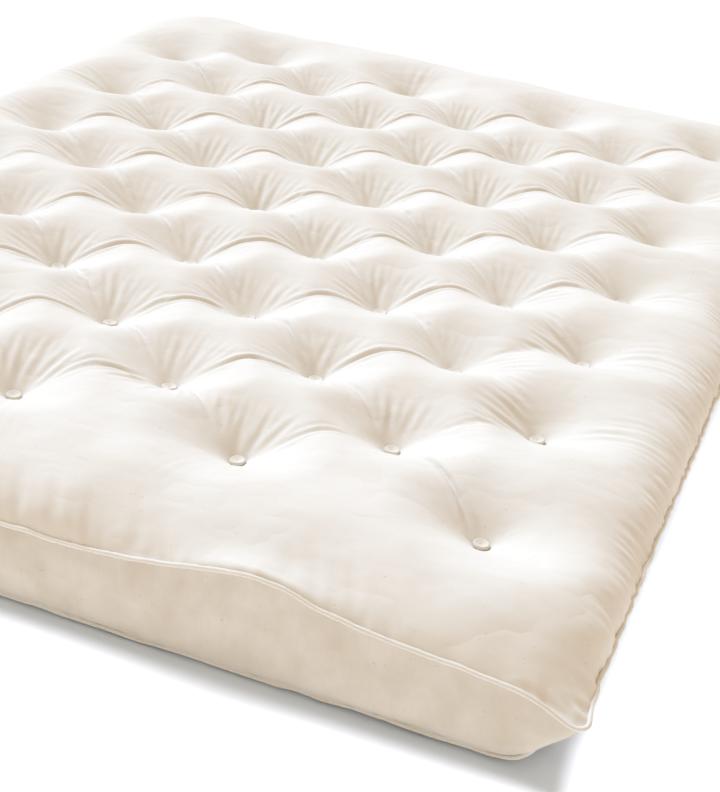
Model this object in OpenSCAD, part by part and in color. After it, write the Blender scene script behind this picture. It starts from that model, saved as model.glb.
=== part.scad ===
// Tufted futon mattress for a full-size (54 by 75 inch) frame: a boxed cotton case with welted seams,
// filled with layers of batting and drawn together by twine between pairs of covered buttons.
// It lies flat. X runs across the width, Y from the foot to the head, Z up, with the floor at Z = 0.

/* [Mattress] */
// Overall width, welts included
mattress_w = 1372; // [960:1:1530]
// Overall length, welts included
mattress_l = 1905; // [1850:1:2040]
// Height of the crown, the highest part of the top
crown_h = 150; // [130:1:200]
// Radius of the corners in plan
corner_r = 42; // [30:1:80]

/* [Case] */
// Thickness of the ticking, padded by the batting that clings to it
ticking_t = 1.6; // [1:0.1:3]
// Height of the seam between the top panel and the boxing
top_seam_h = 108; // [90:1:120]
// Height of the seam between the bottom panel and the boxing
bottom_seam_h = 12; // [8:1:16]
// Width over which the top panel rolls down to its seam
shoulder_w = 118; // [60:1:120]
// Width of the rolled bottom edge
roll_w = 16; // [12:1:24]
// Height of the rolled bottom edge
roll_h = 22; // [18:1:30]
// Radius of the welts
welt_r = 2.5; // [1.5:0.1:3.5]

/* [Tufting] */
// Number of lengthwise rows of tufts
tuft_rows = 8; // [4:2:10]
// Distance between neighbouring rows
row_pitch = 145.7; // [120:0.1:180]
// Number of tufts in the first row, and in every second row from there
tufts_in_long_row = 7; // [5:1:9]
// Distance between the tufts of one row
tuft_pitch = 238; // [200:1:260]
// How much nearer to its corner a corner tuft is tied, across the width
corner_pull_x = 8; // [0:1:12]
// How much nearer to its corner a corner tuft is tied, along the length
corner_pull_y = 24; // [0:1:30]
// Depth to which a tuft draws down the top
top_dip = 46; // [30:1:60]
// Radius of the hollow around a tuft on the top
top_hollow_r = 92; // [60:1:93]
// Height to which a tuft draws up the bottom
bottom_dip = 24; // [10:1:30]
// Radius of the hollow around a tuft on the bottom
bottom_hollow_r = 66; // [40:1:70]

/* [Filling] */
// Number of layers of batting
batting_layers = 6; // [3:1:10]
// Clearance between layers, and between the filling and the case
gap = 0.4; // [0.2:0.1:1]

/* [Buttons and twine] */
// Radius of a covered button
button_r = 9.5; // [7:0.5:15]
// Thickness of a covered button at its middle
button_t = 6; // [4:0.5:9]
// Radius of the tufting twine
twine_r = 1.2; // [0.8:0.1:2]
// Radius of the hole that the twine passes through
hole_r = 2; // [1.5:0.1:4]

/* [Hidden] */
// Clearance between a welt and the case that it lies against
welt_gap = 0.1;
body_w = mattress_w - 2 * (2 * welt_r + welt_gap);
body_l = mattress_l - 2 * (2 * welt_r + welt_gap);
// Clearance between neighbouring panels of the case along their seams
seam_gap = 0.3;
// Radius of the level place that a button rests on, and the height of that place at the top and the bottom
seat_r = button_r + 2;
top_seat_z = crown_h - top_dip;
bottom_seat_z = bottom_dip;
// How much steeper a hollow is at its button than at its rim
hollow_power = 1.5;
// Number of straight steps in the outline of a hollow, and in each rounded edge of the cross-section
hollow_steps = 5;
arc_steps = 6;
// A length that is more than the whole mattress, for cutting blocks
big = 3000;
ROWS = [for (i = [1:tuft_rows]) i];

TICKING = [0.93, 0.89, 0.82];
WELT = [0.95, 0.92, 0.86];
BATTING = [0.97, 0.95, 0.90];
BUTTON = [0.96, 0.93, 0.88];
TWINE = [0.85, 0.78, 0.64];

// The straight and turned stretches of a welt only meet face to face at round sizes
function to_tenths(x) = ceil(10 * x) / 10;

// Centres of the tufts of row i, counted from the +X side
function row_x(i) = (tuft_rows / 2 + 0.5 - i) * row_pitch;
function tufts_in_row(i) = tufts_in_long_row - (i % 2 == 1 ? 0 : 1);
function tufts(i) = let (n = tufts_in_row(i), side = i == 1 ? 1 : i == tuft_rows ? -1 : 0) [
    for (k = [0:n - 1]) let (end = k == 0 ? -1 : k == n - 1 ? 1 : 0, corner = abs(side * end)) [
        row_x(i) + side * corner * corner_pull_x,
        (k - (n - 1) / 2) * tuft_pitch + end * corner * corner_pull_y
    ]
];
ALL_TUFTS = [for (i = ROWS) each tufts(i)];

// One side of the cross-section, from the middle of the bottom up to the middle of the top, set in by t
function side_points(half, t) = concat(
    [for (k = [0:arc_steps]) let (a = 90 - 90 * k / arc_steps)
        [half - roll_w + (roll_w - t) * cos(a), roll_h - (roll_h - t) * sin(a)]],
    [for (k = [0:arc_steps]) let (a = 90 * k / arc_steps)
        [half - shoulder_w + (shoulder_w - t) * cos(a), top_seam_h + (crown_h - t - top_seam_h) * sin(a)]]
);

module cross_section(width, t) {
    side = side_points(width / 2, t);
    polygon(concat(side, [for (k = [len(side) - 1:-1:0]) [-side[k][0], side[k][1]]]));
}

module plan(inset) {
    r = corner_r - inset;
    x = body_w / 2 - corner_r;
    y = body_l / 2 - corner_r;
    square([2 * x, 2 * (y + r)], center = true);
    square([2 * (x + r), 2 * y], center = true);
    for (sx = [-1, 1], sy = [-1, 1]) translate([sx * x, sy * y]) circle(r = r, $fn = 48);
}

// The filled shape without its tufts, set in by t from the outside of the case
module filled_shape(t) {
    intersection() {
        rotate([90, 0, 0]) linear_extrude(big, center = true) cross_section(body_w, t);
        rotate([90, 0, 90]) linear_extrude(big, center = true) cross_section(body_l, t);
        linear_extrude(crown_h) plan(t);
    }
}

// Outline of the hollow that a tuft makes in a level surface: depth dip, radius r
function hollow_points(dip, r) = [
    for (k = [0:hollow_steps]) let (s = k / hollow_steps)
        [seat_r + (r - seat_r) * s, -dip * pow(1 - s, hollow_power)]
];

// What the tufts cut from a level surface at height z
module hollows(z, dip) {
    r = top_hollow_r;
    outline = concat([[0, -dip]], hollow_points(dip, r), [[r, dip], [0, dip]]);
    for (p = ALL_TUFTS) translate([p[0], p[1], z]) rotate_extrude($fn = 48) polygon(outline);
}

// What the tufts raise above a level surface at height z
module bumps(z, rise) {
    r = bottom_hollow_r;
    outline = concat([[0, rise]], hollow_points(-rise, r), [[r, -rise], [0, -rise]]);
    for (p = ALL_TUFTS) translate([p[0], p[1], z]) rotate_extrude($fn = 48) polygon(outline);
}

// Everything below a surface at height z that the tufts draw down by dip, or up where dip is negative
module below(z, dip) {
    if (dip > 0) {
        difference() {
            translate([-big / 2, -big / 2, z - big]) cube(big);
            hollows(z, dip);
        }
    } else {
        translate([-big / 2, -big / 2, z - big]) cube(big);
        bumps(z, -dip);
    }
}

module twine_holes() {
    for (p = ALL_TUFTS) translate([p[0], p[1], -1]) cylinder(r = hole_r, h = crown_h + 2, $fn = 24);
}

// The case as one hollow shell
module case_shell() {
    difference() {
        filled_shape(0);
        filled_shape(ticking_t);
    }
}

module slab(z_low, z_high) {
    translate([-big / 2, -big / 2, z_low]) cube([big, big, z_high - z_low]);
}

module top_panel() {
    color(TICKING) difference() {
        intersection() {
            filled_shape(0);
            slab(top_seam_h + seam_gap, crown_h);
        }
        hollows(crown_h, top_dip);
        difference() {
            filled_shape(ticking_t);
            hollows(crown_h - ticking_t, top_dip);
        }
        twine_holes();
    }
}

module bottom_panel() {
    color(TICKING) difference() {
        intersection() {
            filled_shape(0);
            union() {
                slab(0, bottom_seam_h - seam_gap);
                bumps(ticking_t, bottom_dip);
            }
        }
        difference() {
            filled_shape(ticking_t);
            bumps(ticking_t, bottom_dip);
        }
        bumps(0, bottom_dip);
        twine_holes();
    }
}

// One strip of the boxing: the part of the band inside a wedge that ends on the corners' diagonals
module boxing_strip(side_angle, half_along, half_across) {
    inner = half_across - corner_r;
    mid = half_along - corner_r;
    flare = 2 * corner_r;
    color(TICKING) intersection() {
        case_shell();
        slab(bottom_seam_h, top_seam_h);
        rotate(side_angle) linear_extrude(big, center = true) polygon([
            [inner + seam_gap, -mid],
            [inner + seam_gap + flare, -mid - flare],
            [inner + seam_gap + flare, mid + flare],
            [inner + seam_gap, mid]
        ]);
    }
}

module boxing_right() boxing_strip(0, body_l / 2, body_w / 2);
module boxing_head() boxing_strip(90, body_w / 2, body_l / 2);
module boxing_left() boxing_strip(180, body_l / 2, body_w / 2);
module boxing_foot() boxing_strip(270, body_w / 2, body_l / 2);

// A round cord that follows the plan of the case, its middle out from the case's side by out
module welt(z, out) {
    x = body_w / 2 - corner_r;
    y = body_l / 2 - corner_r;
    r = corner_r + out;
    color(WELT) translate([0, 0, z]) {
        for (s = [-1, 1]) {
            translate([s * (x + r), 0, 0]) rotate([90, 0, 0])
                cylinder(r = welt_r, h = 2 * y, center = true, $fn = 24);
            translate([0, s * (y + r), 0]) rotate([0, 90, 0])
                cylinder(r = welt_r, h = 2 * x, center = true, $fn = 24);
        }
        for (c = [[1, 1, 0], [-1, 1, 90], [-1, -1, 180], [1, -1, 270]])
            translate([c[0] * x, c[1] * y, 0]) rotate(c[2])
                rotate_extrude(angle = 90, $fn = 96) translate([r, 0]) circle(r = welt_r, $fn = 24);
    }
}

module top_welt() welt(top_seam_h, welt_r + welt_gap);

// It sits in the turn of the rolled edge, square to the surface there
module bottom_welt() {
    turn = asin((roll_h - bottom_seam_h) / roll_h);
    off = welt_r + welt_gap;
    drop = off * sin(turn);
    out = roll_w * (cos(turn) - 1) + off * cos(turn);
    welt(bottom_seam_h - to_tenths(drop), to_tenths(out));
}

// Height of the surface under layer k, and how far the tufts draw it down (up where it is negative)
function layer_z(k) = ticking_t + (crown_h - 2 * ticking_t) * k / batting_layers;
function layer_dip(k) = -bottom_dip + (top_dip + bottom_dip) * k / batting_layers;

module batting_layer(k) {
    color(BATTING) difference() {
        intersection() {
            filled_shape(ticking_t + gap);
            below(layer_z(k) - gap, layer_dip(k));
        }
        below(layer_z(k - 1) + gap, layer_dip(k - 1));
        twine_holes();
    }
}

// A covered button with a flat back and a low domed face
module button() {
    rim = button_t * 0.4;
    rotate_extrude($fn = 48) polygon(concat(
        [[0, 0], [button_r - 1, 0], [button_r, 1]],
        [for (a = [0:15:90]) [button_r * cos(a), rim + (button_t - rim) * sin(a)]]
    ));
}

module top_buttons_row(i) {
    color(BUTTON) for (p = tufts(i)) translate([p[0], p[1], top_seat_z]) button();
}

module bottom_buttons_row(i) {
    color(BUTTON) for (p = tufts(i)) translate([p[0], p[1], bottom_seat_z]) mirror([0, 0, 1]) button();
}

module tuft_twine_row(i) {
    color(TWINE) for (p = tufts(i)) translate([p[0], p[1], bottom_seat_z])
        cylinder(r = twine_r, h = top_seat_z - bottom_seat_z, $fn = 24);
}

top_panel();
bottom_panel();
boxing_foot();
boxing_head();
boxing_left();
boxing_right();
top_welt();
bottom_welt();
for (i = [1:batting_layers]) batting_layer(i);
for (i = ROWS) top_buttons_row(i);
for (i = ROWS) bottom_buttons_row(i);
for (i = ROWS) tuft_twine_row(i);
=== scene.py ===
"""Looks of a tufted futon mattress around its CAD frame: cotton case, welts, batting, buttons and twine."""
import math

import bpy
import numpy as np
from mathutils import Matrix, Vector


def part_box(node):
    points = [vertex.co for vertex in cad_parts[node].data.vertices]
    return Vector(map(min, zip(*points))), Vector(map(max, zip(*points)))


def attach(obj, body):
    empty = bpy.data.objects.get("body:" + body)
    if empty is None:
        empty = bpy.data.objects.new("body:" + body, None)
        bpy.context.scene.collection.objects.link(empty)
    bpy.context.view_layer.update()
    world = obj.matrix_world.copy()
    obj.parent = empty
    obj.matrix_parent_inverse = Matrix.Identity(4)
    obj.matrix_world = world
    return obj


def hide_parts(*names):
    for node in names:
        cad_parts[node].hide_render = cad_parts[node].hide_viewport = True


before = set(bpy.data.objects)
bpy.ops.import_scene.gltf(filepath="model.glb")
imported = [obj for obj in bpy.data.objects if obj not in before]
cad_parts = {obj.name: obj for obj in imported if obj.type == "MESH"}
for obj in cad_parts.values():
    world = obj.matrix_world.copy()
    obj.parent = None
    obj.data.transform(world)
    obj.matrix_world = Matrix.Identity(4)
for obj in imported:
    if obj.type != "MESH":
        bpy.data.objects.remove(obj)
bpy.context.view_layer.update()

# ---------------------------------------------------------------- camera
CAMERA_AT = Vector((0.822, -2.216, 1.040))
CAMERA_AIM = Vector((0.278, -0.472, 0.100))
CAMERA_ROLL = math.radians(7.27)
CAMERA_LENS = 74.36  # for the 36 mm long side of the sensor


def make_camera():
    ahead = (CAMERA_AIM - CAMERA_AT).normalized()
    level = ahead.cross(Vector((0, 0, 1))).normalized()
    right = level * math.cos(CAMERA_ROLL) + level.cross(ahead) * math.sin(CAMERA_ROLL)
    data = bpy.data.cameras.new("camera")
    data.lens = CAMERA_LENS
    data.sensor_width = 36
    data.clip_start = 0.05
    camera = bpy.data.objects.new("camera", data)
    camera.matrix_world = Matrix((right, right.cross(ahead), -ahead)).transposed().to_4x4()
    camera.location = CAMERA_AT
    bpy.context.scene.collection.objects.link(camera)
    bpy.context.scene.camera = camera


make_camera()


# ---------------------------------------------------------------- layout, from the frame
def box_of(node):
    low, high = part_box(node)
    return np.array(low), np.array(high)


def middle(node):
    return sum(box_of(node)) / 2


HALF_W, HALF_L = box_of("boxing_right")[1][0], box_of("boxing_head")[1][1]
CROWN_Z = box_of("top_panel")[1][2]
SEAM_Z = middle("top_welt")[2]
BOTTOM_SEAM_Z = box_of("boxing_foot")[0][2]
WELT_R = (box_of("top_welt")[1][2] - box_of("top_welt")[0][2]) / 2
TOP_SEAT_Z = box_of("top_buttons_row_1")[0][2]
BOTTOM_SEAT_Z = box_of("bottom_buttons_row_1")[1][2]
BUTTON_T = box_of("top_buttons_row_2")[1][2] - TOP_SEAT_Z
BUTTON_R = (box_of("top_buttons_row_2")[1][0] - box_of("top_buttons_row_2")[0][0]) / 2
TWINE_R = (box_of("tuft_twine_row_2")[1][0] - box_of("tuft_twine_row_2")[0][0]) / 2
LAYERS = sorted(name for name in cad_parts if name.startswith("batting_layer_"))
ROWS = range(1, 1 + sum(name.startswith("top_buttons_row_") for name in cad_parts))


def row_tufts(i):
    """The middles of the tufts of one row, from the foot to the head."""
    points = np.array([v.co[:2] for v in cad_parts[f"top_buttons_row_{i}"].data.vertices])
    points = points[np.argsort(points[:, 1])]
    gaps = np.flatnonzero(np.diff(points[:, 1]) > BUTTON_R) + 1
    return [(part.min(0) + part.max(0)) / 2 for part in np.split(points, gaps)]


TUFTS = {i: row_tufts(i) for i in ROWS}
ALL_TUFTS = [tuft for i in ROWS for tuft in TUFTS[i]]
ROW_PITCH = TUFTS[2][0][0] - TUFTS[3][0][0]
TUFT_PITCH = TUFTS[2][1][1] - TUFTS[2][0][1]
ROW_GAPS = len(ROWS) - 1
HALF_PITCHES = 2 * (max(len(row) for row in TUFTS.values()) - 1)  # rows are shifted by half a pitch in turn
LAST_ROW_X = ROW_GAPS / 2 * ROW_PITCH
LAST_TUFT_Y = HALF_PITCHES / 4 * TUFT_PITCH


def marks(i):
    """Where the tufts of one row would be if none was pulled towards a corner of the mattress."""
    count = len(TUFTS[i])
    row_x = ((ROWS[0] + ROWS[-1]) / 2 - i) * ROW_PITCH
    return [np.array((row_x, (k - (count - 1) / 2) * TUFT_PITCH)) for k in range(count)]


ALL_MARKS = [mark for i in ROWS for mark in marks(i)]


# ---------------------------------------------------------------- helpers
def smooth(t):
    t = np.clip(t, 0, 1)
    return t * t * (3 - 2 * t)


def noise(x, y, cell, seed):
    """Smooth noise from -1 to 1, its bumps about cell metres across."""
    table = np.random.default_rng(seed).uniform(-1, 1, (64, 64))
    u, v = np.asarray(x) / cell + 1000.0, np.asarray(y) / cell + 1000.0
    i, j = np.floor(u).astype(int), np.floor(v).astype(int)
    a, b = smooth(u - i), smooth(v - j)
    low = table[i % 64, j % 64] * (1 - a) + table[(i + 1) % 64, j % 64] * a
    high = table[i % 64, (j + 1) % 64] * (1 - a) + table[(i + 1) % 64, (j + 1) % 64] * a
    return low * (1 - b) + high * b


def new_piece(name, points, faces, material, nodes=()):
    """A mesh of quads, made a piece that rides on the mattress and stands for these CAD nodes."""
    points, faces = np.asarray(points, np.float32), np.asarray(faces, np.int32)
    mesh = bpy.data.meshes.new(name)
    mesh.vertices.add(len(points))
    mesh.vertices.foreach_set("co", points.ravel())
    mesh.loops.add(faces.size)
    mesh.loops.foreach_set("vertex_index", faces.ravel())
    mesh.polygons.add(len(faces))
    mesh.polygons.foreach_set("loop_start", np.arange(0, faces.size, faces.shape[1], dtype=np.int32))
    mesh.update(calc_edges=True)
    mesh.polygons.foreach_set("use_smooth", np.ones(len(faces), bool))
    mesh.materials.append(material)
    piece = bpy.data.objects.new(name, mesh)
    bpy.context.scene.collection.objects.link(piece)
    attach(piece, "root")
    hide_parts(*nodes)
    return piece


def grid_faces(rows, columns, start=0, flip=False, wrap=False):
    at = np.arange(rows * columns).reshape(rows, columns) + start
    if wrap:
        at = np.concatenate([at, at[:, :1]], axis=1)
    quads = np.stack([at[:-1, :-1], at[:-1, 1:], at[1:, 1:], at[1:, :-1]], -1).reshape(-1, 4)
    return quads[:, ::-1] if flip else quads


# ---------------------------------------------------------------- cloth
class Cloth:
    """A woven sheet on a grid of threads, pushed along its normals and solved in small steps.

    Each step moves the points by their own motion and by push, then brings every thread nearer to the
    length it was cut to, so some threads stay stretched. held marks the points that stay at their goal.
    """

    STIFF, SHEAR, CRIMP, DRAG = 1.0, 0.25, 0.45, 0.9

    def __init__(self, points, held, goal, thread_x, thread_y):
        self.p = points.astype(np.float32)
        self.held, self.goal = held, goal.astype(np.float32)
        self.free = np.where(held, 0, 1).astype(np.float32)
        self.motion = np.zeros_like(self.p)
        self.x, self.y = thread_x.astype(np.float32), thread_y.astype(np.float32)
        self.cross = np.sqrt(self.x[:-1] ** 2 + self.y[:, :-1] ** 2)
        self.x_two = self.x[:, :-1] + self.x[:, 1:]
        self.y_two = self.y[:-1] + self.y[1:]

    def threads(self, a, b, rest, pull, thrust):
        """Brings the threads from a to b towards their rest length."""
        d = self.p[(slice(None),) + b] - self.p[(slice(None),) + a]
        off = 1 - rest / np.sqrt((d * d).sum(0))
        d *= np.where(off > 0, pull, thrust) * off / np.maximum(self.free[a] + self.free[b], 1)
        self.p[(slice(None),) + a] += self.free[a] * d
        self.p[(slice(None),) + b] -= self.free[b] * d

    @staticmethod
    def normals(p):
        along, up = np.gradient(p, axis=2), np.gradient(p, axis=1)
        n = np.cross(along, up, axis=0)
        return n / (np.sqrt((n * n).sum(0)) + 1e-12)

    def solve(self, steps, push):
        s, rows, columns = slice, self.p.shape[1], self.p.shape[2]
        for _ in range(steps):
            before = self.p.copy()
            self.p += self.motion * self.DRAG
            self.p += self.normals(self.p) * push(self.p) * self.free
            for k in (0, 1):
                self.threads((s(None), s(k, columns - 1, 2)), (s(None), s(k + 1, columns, 2)),
                             self.x[:, k::2], self.STIFF, self.STIFF)
                self.threads((s(k, rows - 1, 2), s(None)), (s(k + 1, rows, 2), s(None)),
                             self.y[k::2], self.STIFF, self.STIFF)
                self.threads((s(k, rows - 1, 2), s(0, -1)), (s(k + 1, rows, 2), s(1, None)),
                             self.cross[k::2], self.SHEAR, self.SHEAR)
                self.threads((s(k, rows - 1, 2), s(1, None)), (s(k + 1, rows, 2), s(0, -1)),
                             self.cross[k::2], self.SHEAR, self.SHEAR)
            for k in (0, 1, 2, 3):
                self.threads((s(None), s(k, columns - 2, 4)), (s(None), s(k + 2, columns, 4)),
                             self.x_two[:, k::4], 0, self.CRIMP)
                self.threads((s(k, rows - 2, 4), s(None)), (s(k + 2, rows, 4), s(None)),
                             self.y_two[k::4], 0, self.CRIMP)
            self.p[:, self.held] = self.goal[:, self.held]
            self.motion = np.clip(self.p - before, -0.002, 0.002)


def evened(p, share, times):
    """Moves every inner point by a share of its way to the middle of its four neighbours, so many times."""
    for _ in range(times):
        around = (p[:, :-2, 1:-1] + p[:, 2:, 1:-1] + p[:, 1:-1, :-2] + p[:, 1:-1, 2:]) / 4
        p[:, 1:-1, 1:-1] += share * (around - p[:, 1:-1, 1:-1])
    return p


def doubled(p):
    """The same sheet with twice as many threads each way."""
    fine = np.zeros((3, 2 * p.shape[1] - 1, 2 * p.shape[2] - 1), np.float32)
    fine[:, ::2, ::2] = p
    fine[:, ::2, 1::2] = (p[:, :, :-1] + p[:, :, 1:]) / 2
    fine[:, 1::2] = (fine[:, :-1:2] + fine[:, 2::2]) / 2
    return fine


# ---------------------------------------------------------------- the seams
TOP_CORNER_R, BOTTOM_CORNER_R = 0.014, 0.048  # of the seams, in plan
CORNER_LIFT = 0.050  # how far the bottom of a corner is drawn up off the floor
TUCK = 0.026  # how far the long sides lean in under the top
OVERHANG = 0.005  # how far the top stands out over the long sides
EAR, EAR_R = 0.009, 0.028  # how far a corner of the top sticks out, and its radius
LIFT_R = 0.034  # radius of the part of a corner that is drawn up
HUMP, HUMP_X, HUMP_W = 0.021, 0.335, 0.085  # of the top seam at the foot: height, place and half the width
HOLLOW, HOLLOW_X, HOLLOW_W = 0.007, 0.06, 0.16  # the same for the hollow beside it
SIDE_SAG = 0.014  # how far the top seam sinks along the long sides
CORNER_SAG, TIP_SAG = 0.012, 0.007  # and how much further near a corner and right at it


def to_corner(x, y):
    return np.hypot(np.abs(x) - HALF_W, np.abs(y) - HALF_L)


def to_side(x, width):
    """0 over most of the face, rising to 1 at the long sides."""
    return smooth((np.abs(x) - HALF_W + width) / width)


def top_seam_z(x, y):
    """The height of the top seam: it wanders, has a hump at the foot, and sinks at the sides and corners."""
    foot = smooth((-y - HALF_L + 0.05) / 0.05)
    hump = HUMP * np.exp(-(((x - HUMP_X) / HUMP_W) ** 2))
    hump = hump - HOLLOW * np.exp(-(((x - HOLLOW_X) / HOLLOW_W) ** 2))
    wander = 0.004 * noise(x, y, 0.17, 21) + 0.0015 * noise(x, y, 0.05, 22)
    off = to_corner(x, y)
    sag = SIDE_SAG * to_side(x, 0.07)
    sag = sag + CORNER_SAG * np.exp(-((off / 0.12) ** 2)) + TIP_SAG * np.exp(-((off / 0.03) ** 2))
    return SEAM_Z - 0.002 + foot * hump + wander - sag


def bottom_lift(x, y):
    """How far the underside is off the floor at its corners."""
    return CORNER_LIFT * np.exp(-((to_corner(x, y) / LIFT_R) ** 2))


def bottom_seam_z(x, y):
    return BOTTOM_SEAM_Z + 0.002 * noise(x, y, 0.12, 23) + bottom_lift(x, y)


def rounded(x, y, r):
    """Points of a face, moved so that its corners are round."""
    dx, dy = np.abs(x) - (HALF_W - r), np.abs(y) - (HALF_L - r)
    share = np.maximum(dx, dy) / (np.hypot(dx, dy) + 1e-9)
    turn = (dx > 0) & (dy > 0)
    return (np.where(turn, np.sign(x) * (HALF_W - r + share * dx), x),
            np.where(turn, np.sign(y) * (HALF_L - r + share * dy), y))


def overhung(x, y):
    """Points of the top face, let out along the long sides and at the corners."""
    ear = EAR * np.exp(-((to_corner(x, y) / EAR_R) ** 2))
    gathers = 0.0012 * noise(y, np.sign(x), 0.011, 25) * to_side(x, 0.02)
    return x + np.sign(x) * (OVERHANG * to_side(x, 0.06) + 0.8 * ear + gathers), y + 0.5 * np.sign(y) * ear


def tucked(x, y):
    """Points of the bottom face, drawn in along the long sides."""
    share = 0.1 + 0.9 * smooth((HALF_L - np.abs(y)) / 0.07)
    return x - np.sign(x) * TUCK * share * to_side(x, 0.14), y


SIDES = ("foot", "right", "head", "left")  # anticlockwise from the corner at -X -Y


def side_line(name, t, r):
    """Points along one side at shares t of its way, from the middle of one corner to that of the next."""
    turn = math.radians(90 * SIDES.index(name))
    half, out = (HALF_W, HALF_L) if name in ("foot", "head") else (HALF_L, HALF_W)
    straight, arc = 2 * (half - r), math.pi * r / 4
    way = np.asarray(t) * (straight + 2 * arc)
    a = np.clip((arc - way) / r, 0, math.pi / 4) - np.clip((way - arc - straight) / r, 0, math.pi / 4)
    along = np.clip(way - arc, 0, straight) - straight / 2 - r * np.sin(a)
    across = -(out - r) - r * np.cos(a)
    return along * math.cos(turn) - across * math.sin(turn), along * math.sin(turn) + across * math.cos(turn)


# ---------------------------------------------------------------- the two panels
# A panel is cut larger than the finished face, held at the buttons and along its seam, and pushed out
# by the batting. What is left over gathers in wrinkles round the buttons and along the edges. The
# bottom panel is made upside down, as a top whose level place is the floor.
SLACK, EDGE_SLACK = 0.038, 0.045  # between the tufts and outside them, as shares of the finished length
TUFT_SLACK, CORNER_TUFT_SLACK = 0.022, 0.036  # more of it close to a tuft
SHOULDER = 0.150  # width over which the top rounds down to its seam
ROLL = 0.018  # the same for the bottom
FILL_Z = CROWN_Z + 0.004
FUNNEL_R, FUNNEL = 0.112, 0.046  # radius and depth of the place round a tuft where the batting is packed
VALLEY, VALLEY_W = 0.017, 0.027  # how far it is packed halfway between two tufts, and half how wide
VALLEY_ROUND = 0.008  # how wide the bottom of a valley is rounded
PUSH = 0.00022  # of the batting on the cloth, in metres a step
RELEASE = 0.03  # how far below its fill height a point gets the whole of PUSH
START = 0.0006  # height of the first unevenness, from which the wrinkles grow
CELLS_X, CELLS_Y = 12, 10  # from row to row, and in half a tuft pitch
EDGE_CELLS_X, EDGE_CELLS_Y = 16, 20
TOP_STEPS = (240, 150, 70)
BOTTOM_STEPS = (160, 60)


def places(cells, pitches, pitch, edge_cells, half):
    """Where the threads lie across a panel: so many cells to a pitch, and so many outside the last tufts."""
    inner = np.linspace(-pitches / 2, pitches / 2, cells * pitches + 1) * pitch
    out = np.linspace(inner[-1], half, edge_cells + 1)[1:]
    return np.concatenate([-out[::-1], inner, out])


def pulled(x, y):
    """The grid of the panel's threads, moved with the corner tufts."""
    px, py = x.copy(), y.copy()
    for (ax, ay), (tx, ty) in zip(ALL_MARKS, ALL_TUFTS):
        near = np.exp(-((x - ax) ** 2 + (y - ay) ** 2) / 0.09 ** 2)
        px += (tx - ax) * near
        py += (ty - ay) * near
    return px, py


def rounding(x, y, width):
    """1 over the level part of a face, falling to 0 at its edges."""
    ax = np.clip((np.abs(x) - HALF_W + width) / width, 0, 1)
    ay = np.clip((np.abs(y) - HALF_L + width) / width, 0, 1)
    return ((1 - ax ** 2) * (1 - ay ** 2)) ** 0.85


def to_segment(x, y, a, b):
    """How far each point is from the line between a and b, and the share of the way along it."""
    along = ((x - a[0]) * (b[0] - a[0]) + (y - a[1]) * (b[1] - a[1])) / ((b - a) @ (b - a))
    along = np.clip(along, 0, 1)
    return np.hypot(x - a[0] - along * (b[0] - a[0]), y - a[1] - along * (b[1] - a[1])), along


def drawn_down(x, y):
    """How much the twine has packed the batting: in a funnel at each tuft, and in the valleys between."""
    down = np.zeros_like(x)
    for k, a in enumerate(ALL_TUFTS):
        out = np.clip((np.hypot(x - a[0], y - a[1]) - BUTTON_R) / FUNNEL_R, 0, 1)
        down += (FUNNEL * (1 - out) ** 1.5) ** 4
        for b in ALL_TUFTS[k + 1:]:
            if math.hypot(*(b - a)) < 0.95 * TUFT_PITCH:
                off, along = to_segment(x, y, a, b)
                depth = VALLEY * (1 + (2 * along - 1) ** 2) * (1 + 0.25 * noise(x, y, 0.09, 33))
                down += (depth * np.exp(-np.hypot(off, VALLEY_ROUND) / VALLEY_W)) ** 4
    return down ** 0.25


def top_fill(x, y):
    lumps = 0.003 * noise(x, y, 0.11, 8) + 0.0015 * noise(x, y, 0.05, 9)
    seam = top_seam_z(x, y)
    return seam + (FILL_Z - seam) * rounding(x, y, SHOULDER) + lumps - drawn_down(x, y)


def bottom_fill(x, y):
    seam = -bottom_seam_z(x, y)
    return seam + (-bottom_lift(x, y) - seam) * rounding(x, y, ROLL)


def is_corner(tuft):
    return abs(tuft[0]) > LAST_ROW_X - 0.1 * ROW_PITCH and abs(tuft[1]) > LAST_TUFT_Y - 0.1 * TUFT_PITCH


def round_tufts(x, y):
    """The extra slack close to the tufts, which the funnels need."""
    gathered = []
    for a in ALL_TUFTS:
        near = np.exp(-((x - a[0]) ** 2 + (y - a[1]) ** 2) / 0.06 ** 2)
        gathered.append((CORNER_TUFT_SLACK if is_corner(a) else TUFT_SLACK) * near)
    return np.max(gathered, axis=0)


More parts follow.
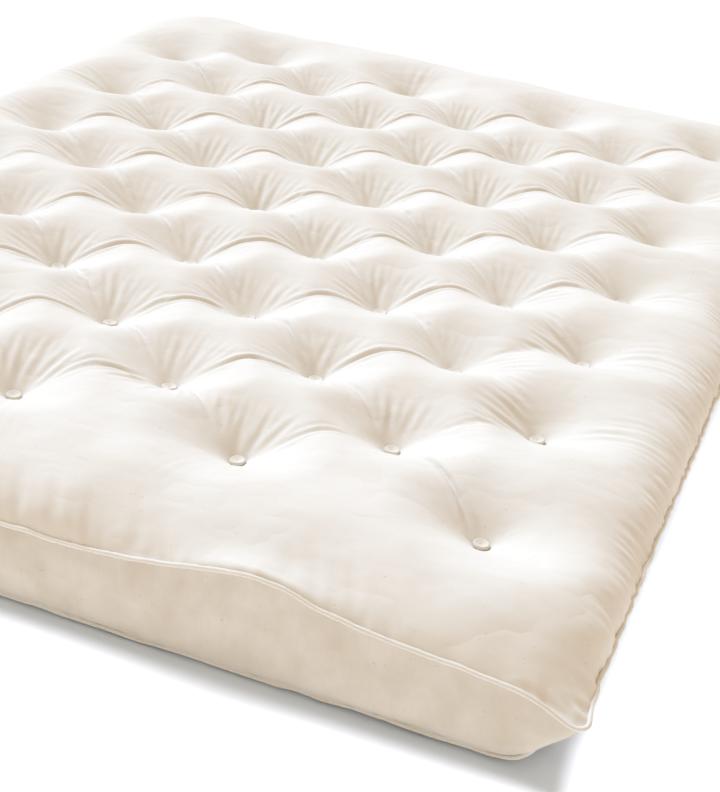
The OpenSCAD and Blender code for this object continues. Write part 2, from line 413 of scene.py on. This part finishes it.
class Panel:
    """One panel of the case. shifted moves its outline, fill is the height that the batting pushes it to,
    and cut is the width and length that it was cut to, once it has been solved."""

    def __init__(self, seam_z, seat_z, corner_r, shifted, fill, funnel_r, ceiling=None):
        self.seam_z, self.seat_z, self.corner_r = seam_z, seat_z, corner_r
        self.shifted, self.fill = shifted, fill
        self.funnel_r, self.ceiling = funnel_r, ceiling
        self.cut = None

    def solve(self, level, steps, points=None):
        n = 2 ** level
        along_x = places(CELLS_X * n, ROW_GAPS, ROW_PITCH, EDGE_CELLS_X * n, HALF_W)
        along_y = places(CELLS_Y * n, HALF_PITCHES, TUFT_PITCH / 2, EDGE_CELLS_Y * n, HALF_L)
        flat_x, flat_y = np.meshgrid(along_x, along_y)
        x, y = rounded(*pulled(flat_x, flat_y), self.corner_r)
        held = np.zeros(x.shape, bool)
        held[[0, -1]] = held[:, [0, -1]] = True
        seam, top = self.seam_z(x, y), self.fill(x, y).astype(np.float32)
        x, y = self.shifted(x, y)
        thread_x, thread_y = self.threads(x, y)
        self.cut = float(thread_x.sum(1).max()), float(thread_y.sum(0).max())
        goal = np.stack([x, y, seam])
        for (ax, ay), (tx, ty) in zip(ALL_MARKS, ALL_TUFTS):
            near = (flat_x - ax) ** 2 + (flat_y - ay) ** 2 < (0.93 * BUTTON_R) ** 2
            near |= (np.abs(flat_x - ax) < 1e-4) & (np.abs(flat_y - ay) < 1e-4)
            held |= near
            goal[0, near], goal[1, near] = tx + flat_x[near] - ax, ty + flat_y[near] - ay
            goal[2, near] = self.seat_z
        if points is None:
            z = top.astype(float)
            for tx, ty in ALL_TUFTS:
                away = np.clip((np.hypot(x - tx, y - ty) - BUTTON_R) / self.funnel_r, 0, 1)
                z = np.minimum(z, self.seat_z + (z - self.seat_z) * (1 - (1 - away) ** 1.8))
            points = np.stack([x, y, z])
        points = points.copy()
        points[2] += START * (noise(x, y, 0.012 / n, 5 + level) + noise(x, y, 0.02 / n, 15 + level))
        points[:, held] = goal[:, held]
        cloth = Cloth(points, held, goal, thread_x, thread_y)
        cloth.solve(steps, lambda p: PUSH * np.clip((top - p[2]) / RELEASE, -1, 1.5))
        if self.ceiling is not None:
            cloth.p[2] = np.minimum(cloth.p[2], self.ceiling)
        return self.settled(cloth.p, held, x, y)

    def settled(self, p, held, x, y):
        """Evens out the finest ripples, most of all on the wide margins where nothing pulls the cloth."""
        margin = smooth((np.abs(y) - LAST_TUFT_Y) / 0.05) * smooth((HALF_L - np.abs(y) - 0.01) / 0.03)
        side = smooth((np.abs(x) - LAST_ROW_X - 0.02) / 0.05) * smooth((HALF_W - np.abs(x) - 0.005) / 0.03)
        corner = np.max([np.exp(-((x - a[0]) ** 2 + (y - a[1]) ** 2) / 0.10 ** 2)
                         for a in ALL_TUFTS if is_corner(a)], axis=0)
        share = np.where(held, 0, 0.02 + 0.42 * margin + 0.05 * side + 0.16 * corner).astype(np.float32)
        return evened(p, share[1:-1, 1:-1], 8)

    def threads(self, x, y):
        """The lengths that the threads were cut to: the finished spacing and some slack."""
        mx, my = (x[:, 1:] + x[:, :-1]) / 2, (y[:, 1:] + y[:, :-1]) / 2
        foot = smooth((HALF_L - np.abs(my)) / 0.30)
        margin = np.abs(mx) > LAST_ROW_X
        slack_x = np.where(margin, EDGE_SLACK, SLACK) * (0.1 + 0.9 * foot) + round_tufts(mx, my)
        slack_x *= 1 + 0.5 * noise(mx, my, 0.07, 35)
        mx, my = (x[1:] + x[:-1]) / 2, (y[1:] + y[:-1]) / 2
        margin = np.abs(my) > LAST_TUFT_Y
        side = smooth((np.abs(mx) - HALF_W + 0.13) / 0.06)
        slack_y = np.where(margin, 0.45 * EDGE_SLACK, SLACK * (1 - 0.45 * side)) + round_tufts(mx, my)
        uneven = 1 + (0.5 + 0.4 * side) * noise(mx, my, 0.06, 36)
        slack_y *= uneven * (1 + 0.6 * side * noise(mx, my, 0.17, 37))
        across = np.hypot(np.diff(x, axis=1), np.diff(y, axis=1))
        down = np.hypot(np.diff(x, axis=0), np.diff(y, axis=0))
        return across * (1 + slack_x), down * (1 + slack_y)


def make_panel(panel, all_steps):
    points = None
    for level, steps in enumerate(all_steps):
        points = panel.solve(level, steps, None if points is None else doubled(points))
    return points


def puckered(p, size):
    """The same panel with the fine gathers that the stitches leave along its seam, and longer wrinkles
    here and there at the foot and the head."""
    cloth_normal = Cloth.normals(p)
    x, y = p[0], p[1]
    edge_x, edge_y = HALF_W - np.abs(x), HALF_L - np.abs(y)
    long_side = edge_x < edge_y
    along = np.where(long_side, y, x)
    reach = np.where(long_side, 0.018, 0.014)
    close = np.exp(-((np.minimum(edge_x, edge_y) / reach) ** 2))
    close = close * (0.55 + 0.45 * noise(along, 0 * along, 0.05, 42))
    deep = size * np.where(long_side, 2.6, 1.2)
    fold = noise(along + 0.3 * np.minimum(edge_x, edge_y), np.sign(x) + 3 * np.sign(y), 0.009, 41)
    gathers = close * deep * fold
    patch = smooth(0.5 + 1.5 * noise(along, edge_y, 0.10, 43))
    patch = patch * smooth(edge_x / 0.10) * smooth(edge_y / 0.015)
    reach = 0.045 + 0.025 * noise(along, np.sign(y), 0.06, 45)
    wrinkle = noise(along + 0.4 * edge_y * np.sign(x + 0.2), 3 * np.sign(y), 0.014, 44)
    gathers += np.where(long_side, 0, 2.2 * size * patch * np.exp(-((edge_y / reach) ** 2)) * wrinkle)
    return p + cloth_normal * gathers


# ---------------------------------------------------------------- boxing
BOXING_CELL, BOXING_ROWS = 0.004, 27
BOXING_STEPS, BOXING_PUSH, BOXING_RELEASE = 220, 0.0001, 0.004  # the last two are as for a panel
BOXING_SLACK_X, BOXING_SLACK_Y = 0.028, 0.035  # along the seams and from seam to seam
BULGE = {"foot": 0.007, "right": 0.003, "head": 0.007, "left": 0.003}


def make_boxing(name):
    """One strip of the boxing, held in its four seams and pushed out by the batting."""
    half = HALF_W if name in ("foot", "head") else HALF_L
    columns, rows = int(2 * half / BOXING_CELL), BOXING_ROWS
    t, v = np.meshgrid(np.linspace(0, 1, columns), np.linspace(0, 1, rows))
    bx, by = side_line(name, t, BOTTOM_CORNER_R)
    tx, ty = side_line(name, t, TOP_CORNER_R)
    low = np.stack([*tucked(bx, by), bottom_seam_z(bx, by)])
    high = np.stack([*overhung(tx, ty), top_seam_z(tx, ty)])
    flat = low + (high - low) * v
    edge_x = np.linalg.norm(np.diff(flat, axis=2), axis=0)
    edge_y = np.linalg.norm(np.diff(flat, axis=1), axis=0)
    seed = 50 + SIDES.index(name)
    mt = (t[:, 1:] + t[:, :-1]) / 2
    thread_x = edge_x * (1 + BOXING_SLACK_X + 0.014 * noise(mt * 2 * half, 0 * mt, 0.09, seed))
    thread_y = edge_y * (1 + BOXING_SLACK_Y + 0.02 * noise(t[1:] * 2 * half, 0 * v[1:], 0.11, seed + 10))
    held = np.zeros(t.shape, bool)
    held[[0, -1]] = held[:, [0, -1]] = True
    out = np.cross(*(np.gradient(flat, axis=a) for a in (2, 1)), axis=0)
    out /= np.linalg.norm(out, axis=0)
    belly = 4 * v ** 0.7 * (1 - v ** 0.7)
    start = flat + out * BULGE[name] * belly
    way = t * 2 * half
    start += out * 0.0011 * (noise(way, v * 0.05, 0.028, seed) + noise(way, v * 0.04, 0.013, seed + 5))
    start[:, [0, -1]] = flat[:, [0, -1]]
    limit = (BULGE[name] * (1 + 0.5 * noise(way, v * 0.1, 0.1, seed + 20)) * belly).astype(np.float32)
    cloth = Cloth(start, held, start, thread_x, thread_y)
    flat, out = flat.astype(np.float32), out.astype(np.float32)
    cloth.solve(BOXING_STEPS, lambda p: BOXING_PUSH * np.clip(
        (limit - ((p - flat) * out).sum(0)) / BOXING_RELEASE, -1, 1.5))
    return evened(cloth.p, 0.5, 6), (float(thread_x.sum(1).max()), float(thread_y.sum(0).max()))


# ---------------------------------------------------------------- welts
WELT_CELL, WELT_SIDES = 0.0035, 14


def make_welt(seam_z, corner_r, shifted, drop, out):
    """A covered cord along a seam, as rings of points, shifted from the seam by out and down by drop."""
    lines = []
    for name in SIDES:
        count = int(2 * (HALF_W if name in ("foot", "head") else HALF_L) / WELT_CELL)
        t = np.arange(count) / count
        x, y = side_line(name, t, corner_r)
        lines.append(np.stack([*shifted(x, y), seam_z(x, y) - drop]))
    line = np.concatenate(lines, axis=1)
    ahead = np.roll(line, -1, 1) - np.roll(line, 1, 1)
    ahead /= np.linalg.norm(ahead, axis=0)
    outward = np.stack([ahead[1], -ahead[0], 0 * ahead[0]])
    outward /= np.linalg.norm(outward, axis=0)
    up = np.cross(outward, ahead, axis=0)
    way = np.cumsum(np.linalg.norm(line - np.roll(line, 1, 1), axis=0))
    turn = np.linspace(0, 2 * math.pi, WELT_SIDES, endpoint=False)[:, None]
    uneven = 1 + 0.10 * noise(way, turn * 0.01, 0.012, 61)
    uneven = uneven + 0.07 * noise(way + turn * 0.004, 0 * turn, 0.005, 62)
    r = WELT_R * uneven
    shift = 0.0012 * noise(way, 0 * way, 0.03, 63)
    middle_line = line + outward * out + up * shift
    rings = middle_line[:, None] + outward[:, None] * (r * np.cos(turn)) + up[:, None] * (r * np.sin(turn))
    return rings.transpose(2, 1, 0)


# ---------------------------------------------------------------- batting
BATTING_FROM, BATTING_TO = 0.03, 0.96  # shares of the way from the bottom panel to the top panel
BATTING_GAP = 0.004  # a share too: how far each face of a layer stays short of the next layer
INSET_X, INSET_Y = 0.010, 0.007  # how far the layers are drawn in from the boxing
INSET_W = 0.12  # width at the edges over which they are


def lowered(p, cells):
    """The same face with each point about as low as the lowest of those up to so many cells away."""
    z = p[2]
    for _ in range(cells):
        z = np.pad(z, 1, mode="edge")
        z = np.minimum(np.minimum(z[:-2, 1:-1], z[2:, 1:-1]), np.minimum(z[1:-1, :-2], z[1:-1, 2:]))
    return np.stack([p[0], p[1], np.minimum(p[2], z)])


def make_batting(top, bottom, low_share, high_share):
    """One layer of batting between two shares of the way from the bottom panel to the top panel."""
    ends = []
    for share, seed in ((low_share, 71), (high_share, 72)):
        p = bottom + (top - bottom) * share
        lumps = 0.0010 * noise(p[0], p[1], 0.03, seed)
        p[0] -= np.sign(p[0]) * INSET_X * to_side(p[0], INSET_W)
        p[1] -= np.sign(p[1]) * INSET_Y * smooth((np.abs(p[1]) - HALF_L + INSET_W) / INSET_W)
        p[2] += lumps
        ends.append(p)
    rows, columns = top.shape[1:]
    faces = [grid_faces(rows, columns, flip=True), grid_faces(rows, columns, start=rows * columns)]
    at = np.arange(rows * columns).reshape(rows, columns)
    loop = np.concatenate([at[0, :-1], at[:-1, -1], at[-1, :0:-1], at[:0:-1, 0]])
    after = np.roll(loop, -1)
    faces.append(np.stack([loop, after, after + rows * columns, loop + rows * columns], -1))
    return np.concatenate([p.reshape(3, -1).T for p in ends]), np.concatenate(faces)


# ---------------------------------------------------------------- buttons and twine
# Shares of the radius and of the thickness, from the dimple in the middle to the back
BUTTON_OUTLINE = (
    (0.0, 0.56), (0.08, 0.57), (0.2, 0.68), (0.4, 0.76), (0.6, 0.83), (0.74, 0.93), (0.84, 1.0),
    (0.92, 0.97), (0.98, 0.84), (1.0, 0.62), (0.99, 0.38), (0.95, 0.18), (0.88, 0.05), (0.7, 0.0))
BUTTON_SIDES, PLEATS = 48, 17  # points and gathers round a button
TWINE_RINGS, TWINE_SIDES = 37, 24
TWINE_LAY = 0.009  # along the twine from one strand to the next


def make_buttons(tufts, seat_z, way, seed):
    """Covered buttons with gathered rims, each a little askew; way is 1 for the top and -1 for the bottom."""
    rng = np.random.default_rng(seed)
    a = np.linspace(0, 2 * math.pi, BUTTON_SIDES, endpoint=False)
    points, faces = [], []
    for x, y in tufts:
        rings = []
        phase, tilt, lean = rng.uniform(0, 6.28, 3)
        for share, height in BUTTON_OUTLINE:
            pleats = np.sin(PLEATS * a + phase)
            gather = 1 + 0.018 * share ** 3 * pleats + 0.02 * share * np.sin(2 * a + lean)
            r = BUTTON_R * 0.985 * share * gather
            crease = 0.03 * share ** 2 * pleats * (share < 0.97)
            z = BUTTON_T * (height + crease) + 0.05 * r * np.cos(a - tilt)
            rings.append(np.stack([x + r * np.cos(a), y + r * np.sin(a), seat_z + way * z], -1))
        faces.append(grid_faces(len(rings), len(a), start=len(points) * len(a), flip=way > 0, wrap=True))
        points.extend(rings)
    return np.concatenate(points), np.concatenate(faces)


def make_twine(tufts):
    """Three strands laid together, from button to button."""
    z = np.linspace(BOTTOM_SEAT_Z, TOP_SEAT_Z, TWINE_RINGS)
    a = np.linspace(0, 2 * math.pi, TWINE_SIDES, endpoint=False)[:, None]
    lay = z / TWINE_LAY * 2 * math.pi
    r = TWINE_R * (0.82 + 0.18 * np.abs(np.cos(1.5 * (a - lay / 3))))
    points, faces = [], []
    for k, (x, y) in enumerate(tufts):
        rings = np.stack([x + r * np.cos(a), y + r * np.sin(a), z + 0 * r], -1).transpose(1, 0, 2)
        faces.append(grid_faces(len(z), len(a), start=k * rings[..., 0].size, wrap=True))
        points.append(rings.reshape(-1, 3))
    return np.concatenate(points), np.concatenate(faces)


# ---------------------------------------------------------------- materials
def material(name):
    made = bpy.data.materials.new(name)
    made.use_nodes = True
    nodes = made.node_tree.nodes
    return made, nodes, made.node_tree.links, nodes["Principled BSDF"]


def texture(nodes, links, coordinates, scale, detail=1.0):
    """Noise on object coordinates, stretched by scale along each axis."""
    mapping = nodes.new("ShaderNodeMapping")
    mapping.inputs["Scale"].default_value = scale
    links.new(coordinates, mapping.inputs["Vector"])
    made = nodes.new("ShaderNodeTexNoise")
    links.new(mapping.outputs["Vector"], made.inputs["Vector"])
    made.inputs["Scale"].default_value = 1.0
    made.inputs["Detail"].default_value = detail
    return made.outputs["Fac"]


def mixed(nodes, links, factor, a, b):
    mix = nodes.new("ShaderNodeMix")
    mix.data_type = "RGBA"
    for socket, value in ((mix.inputs["Factor"], factor), (mix.inputs["A"], a), (mix.inputs["B"], b)):
        if isinstance(value, bpy.types.NodeSocket):
            links.new(value, socket)
        else:
            socket.default_value = value
    return mix.outputs["Result"]


def ramp(nodes, links, factor, low, high, to_low=0.0, to_high=1.0):
    node = nodes.new("ShaderNodeMapRange")
    links.new(factor, node.inputs["Value"])
    for name, value in (("From Min", low), ("From Max", high), ("To Min", to_low), ("To Max", to_high)):
        node.inputs[name].default_value = value
    return node.outputs["Result"]


def bump(nodes, links, height, strength, distance, normal=None):
    node = nodes.new("ShaderNodeBump")
    node.inputs["Strength"].default_value = strength
    node.inputs["Distance"].default_value = distance
    links.new(height, node.inputs["Height"])
    if normal is not None:
        links.new(normal, node.inputs["Normal"])
    return node.outputs["Normal"]


CREASE_DEPTH = 0.006  # metres for one unit of noise


def creases(nodes, links, coordinates, scale):
    """Fine lines where a noise crosses its middle value, as in cloth that has been folded and handled."""
    height = texture(nodes, links, coordinates, scale, 2.5)
    for operation, value in (("SUBTRACT", 0.5), ("ABSOLUTE", 0.0)):
        node = nodes.new("ShaderNodeMath")
        node.operation = operation
        links.new(height, node.inputs[0])
        node.inputs[1].default_value = value
        height = node.outputs["Value"]
    return height


def cotton(name, pale, deep, thread=1300, weave=0.35, slub=0.3, blotch=9, sheen=0.2, streak=0.98,
           crease=None):
    """Plain-woven unbleached cotton: warp and weft, thicker slubs, flecks of seed and uneven colour.

    thread, blotch and crease are scales of noise, per metre; without crease the cloth has none. weave and
    slub are strengths of bump, and streak is the brightness of the slubs as a share of deep.
    """
    made, nodes, links, shader = material(name)
    coordinates = nodes.new("ShaderNodeTexCoord").outputs["Object"]
    warp = texture(nodes, links, coordinates, (thread, 55, 55))
    weft = texture(nodes, links, coordinates, (55, thread, thread))
    slub_warp = texture(nodes, links, coordinates, (380, 22, 22), 2.0)
    slub_weft = texture(nodes, links, coordinates, (22, 380, 380), 2.0)
    cloud = texture(nodes, links, coordinates, (blotch, blotch, blotch), 5.0)
    fleck = texture(nodes, links, coordinates, (210, 210, 210), 2.0)
    threads = mixed(nodes, links, 0.5, warp, weft)
    slubs = mixed(nodes, links, 0.5, slub_warp, slub_weft)
    colour = mixed(nodes, links, ramp(nodes, links, cloud, 0.35, 0.68), (*pale, 1), (*deep, 1))
    thick = tuple(streak * c for c in deep)
    colour = mixed(nodes, links, ramp(nodes, links, slubs, 0.48, 0.66, 0.0, 0.25), colour, (*thick, 1))
    seed = tuple(c * k for c, k in zip(deep, (0.86, 0.80, 0.72)))
    colour = mixed(nodes, links, ramp(nodes, links, fleck, 0.70, 0.80), colour, (*seed, 1))
    links.new(colour, shader.inputs["Base Color"])
    links.new(ramp(nodes, links, threads, 0.3, 0.7, 0.84, 0.96), shader.inputs["Roughness"])
    shader.inputs["Sheen Weight"].default_value = sheen
    shader.inputs["Sheen Roughness"].default_value = 0.5
    shader.inputs["Specular IOR Level"].default_value = 0.2
    normal = bump(nodes, links, threads, weave, 0.0006)
    normal = bump(nodes, links, slubs, slub, 0.0008, normal)
    if crease is not None:
        normal = bump(nodes, links, creases(nodes, links, coordinates, crease), 1.0, CREASE_DEPTH, normal)
    links.new(normal, shader.inputs["Normal"])
    return made


TICKING = cotton("ticking", (0.77, 0.72, 0.64), (0.75, 0.69, 0.60), weave=0.2, slub=0.08, crease=(9, 14, 11))
# The boxing's ticking gets a darker, warmer colour than the top's: painted shade for the sides that face away
# from the key light, and to cancel the light that the floor throws back onto them.
BOXING_WITH_PAINTED_SHADE = cotton("boxing_ticking_with_painted_shade", (0.72, 0.665, 0.585), (0.64, 0.575, 0.47), weave=0.3, slub=0.06, blotch=22,
                streak=1.0, crease=(24, 24, 6))
WELT = cotton("welt_cotton", (0.80, 0.76, 0.69), (0.76, 0.71, 0.62), weave=0.5)
BUTTON = cotton("button_cotton", (0.75, 0.69, 0.60), (0.70, 0.63, 0.52), thread=1700, blotch=60)
BATTING = cotton("batting_fibre", (0.82, 0.79, 0.73), (0.76, 0.72, 0.64), thread=260, weave=0.8, slub=0.9,
                 sheen=0.4)
TWINE = cotton("waxed_twine", (0.62, 0.52, 0.37), (0.52, 0.42, 0.28), thread=2500, sheen=0.1)

# ---------------------------------------------------------------- pieces
TOP_GATHER, BOTTOM_GATHER = 0.0009, 0.0005  # height of the gathers along the seams
UPSIDE_DOWN = np.array([1, 1, -1])[:, None, None]

top_side = Panel(top_seam_z, TOP_SEAT_Z, TOP_CORNER_R, overhung, top_fill, funnel_r=0.085)
bottom_side = Panel(lambda x, y: -bottom_seam_z(x, y), -BOTTOM_SEAT_Z, BOTTOM_CORNER_R, tucked, bottom_fill,
                    funnel_r=0.07, ceiling=0.0)
top = make_panel(top_side, TOP_STEPS)
bottom = make_panel(bottom_side, BOTTOM_STEPS)
bottom[2] *= -1

# The batting follows every second thread of the coarsest grid, and stays inside the threads between them
coarse_rows = CELLS_Y * HALF_PITCHES + 2 * EDGE_CELLS_Y
step = 2 * (top.shape[1] - 1) // coarse_rows
bottom_step = 2 * (bottom.shape[1] - 1) // coarse_rows
coarse_top = lowered(top, step)[:, ::step, ::step]
coarse_bottom = (lowered(bottom * UPSIDE_DOWN, bottom_step) * UPSIDE_DOWN)[:, ::bottom_step, ::bottom_step]

top, bottom = puckered(top, TOP_GATHER), puckered(bottom, BOTTOM_GATHER)
bottom[2] = np.maximum(bottom[2], 0)

top_panel = new_piece("top_panel_ticking", top.reshape(3, -1).T, grid_faces(*top.shape[1:]),
                      TICKING, ["top_panel"])
bottom_panel = new_piece("bottom_panel_ticking", bottom.reshape(3, -1).T,
                         grid_faces(*bottom.shape[1:], flip=True), TICKING, ["bottom_panel"])

for side in SIDES:
    strip, cut = make_boxing(side)
    piece = new_piece(f"boxing_{side}_ticking", strip.reshape(3, -1).T, grid_faces(*strip.shape[1:]), BOXING_WITH_PAINTED_SHADE,
                      [f"boxing_{side}"])

for name, rings in (("top_welt", make_welt(top_seam_z, TOP_CORNER_R, overhung, 0.0, 0.0012)),
                    ("bottom_welt", make_welt(bottom_seam_z, BOTTOM_CORNER_R, tucked, 0.005, -0.004))):
    faces = grid_faces(rings.shape[0] + 1, rings.shape[1], wrap=True) % (rings.shape[0] * rings.shape[1])
    new_piece(f"{name}_cord", rings.reshape(-1, 3), faces, WELT, [name])

shares = np.linspace(BATTING_FROM, BATTING_TO, len(LAYERS) + 1)
for node, low_share, high_share in zip(LAYERS, shares, shares[1:]):
    points, faces = make_batting(coarse_top, coarse_bottom, low_share + BATTING_GAP, high_share - BATTING_GAP)
    new_piece(f"{node}_fibre", points, faces, BATTING, [node])

for i in ROWS:
    for name, seat_z, way in (("top", TOP_SEAT_Z, 1), ("bottom", BOTTOM_SEAT_Z, -1)):
        points, faces = make_buttons(TUFTS[i], seat_z, way, 10 * i + way)
        new_piece(f"{name}_buttons_{i}", points, faces, BUTTON, [f"{name}_buttons_row_{i}"])
    points, faces = make_twine(TUFTS[i])
    new_piece(f"twine_{i}", points, faces, TWINE, [f"tuft_twine_row_{i}"])


# ---------------------------------------------------------------- floor and light
FLOOR_SIZE = 28.0


def plain_floor():
    mesh = bpy.data.meshes.new("floor")
    s = FLOOR_SIZE / 2
    mesh.from_pydata([(-s, -s, 0), (s, -s, 0), (s, s, 0), (-s, s, 0)], [], [(0, 1, 2, 3)])
    floor = bpy.data.objects.new("floor", mesh)
    bpy.context.scene.collection.objects.link(floor)
    made, nodes, links, shader = material("pale_floor")
    coordinates = nodes.new("ShaderNodeTexCoord").outputs["Object"]
    cloud = texture(nodes, links, coordinates, (0.6, 0.6, 0.6))
    colour = mixed(nodes, links, cloud, (0.74, 0.84, 0.98, 1), (0.75, 0.85, 0.99, 1))
    links.new(colour, shader.inputs["Base Color"])
    shader.inputs["Roughness"].default_value = 0.9
    mesh.materials.append(made)
    return floor


def sun(name, towards, strength, spread, colour):
    """A lamp far away in the direction towards."""
    data = bpy.data.lights.new(name, "SUN")
    data.energy, data.angle, data.color = strength, math.radians(spread), colour
    lamp = bpy.data.objects.new(name, data)
    lamp.rotation_euler = Vector(towards).to_track_quat("Z", "Y").to_euler()
    bpy.context.scene.collection.objects.link(lamp)
    return lamp


def sky(strength, colour):
    world = bpy.data.worlds.new("studio")
    world.use_nodes = True
    background = world.node_tree.nodes["Background"]
    background.inputs["Color"].default_value = (*colour, 1)
    background.inputs["Strength"].default_value = strength
    bpy.context.scene.world = world


def light_floor_apart(floor, key, wash):
    """The key lights all but the floor, and the wash, which comes from higher up, lights the floor alone."""
    for lamp, state in ((key, "EXCLUDE"), (wash, "INCLUDE")):
        lit = bpy.data.collections.new(f"lit_by_{lamp.name}")
        lit.objects.link(floor)
        lit.collection_objects[0].light_linking.link_state = state
        lamp.light_linking.receiver_collection = lit


light_floor_apart(plain_floor(),
                  sun("key", (-0.62, 0.42, 0.66), 4.0, 22, (0.52, 0.715, 1.0)),
                  sun("floor_wash", (0.10, 0.22, 0.97), 3.4, 20, (1.0, 0.92, 0.90)))
sky(0.755, (1.0, 0.85, 0.68))
bpy.context.scene.view_settings.view_transform = "Standard"
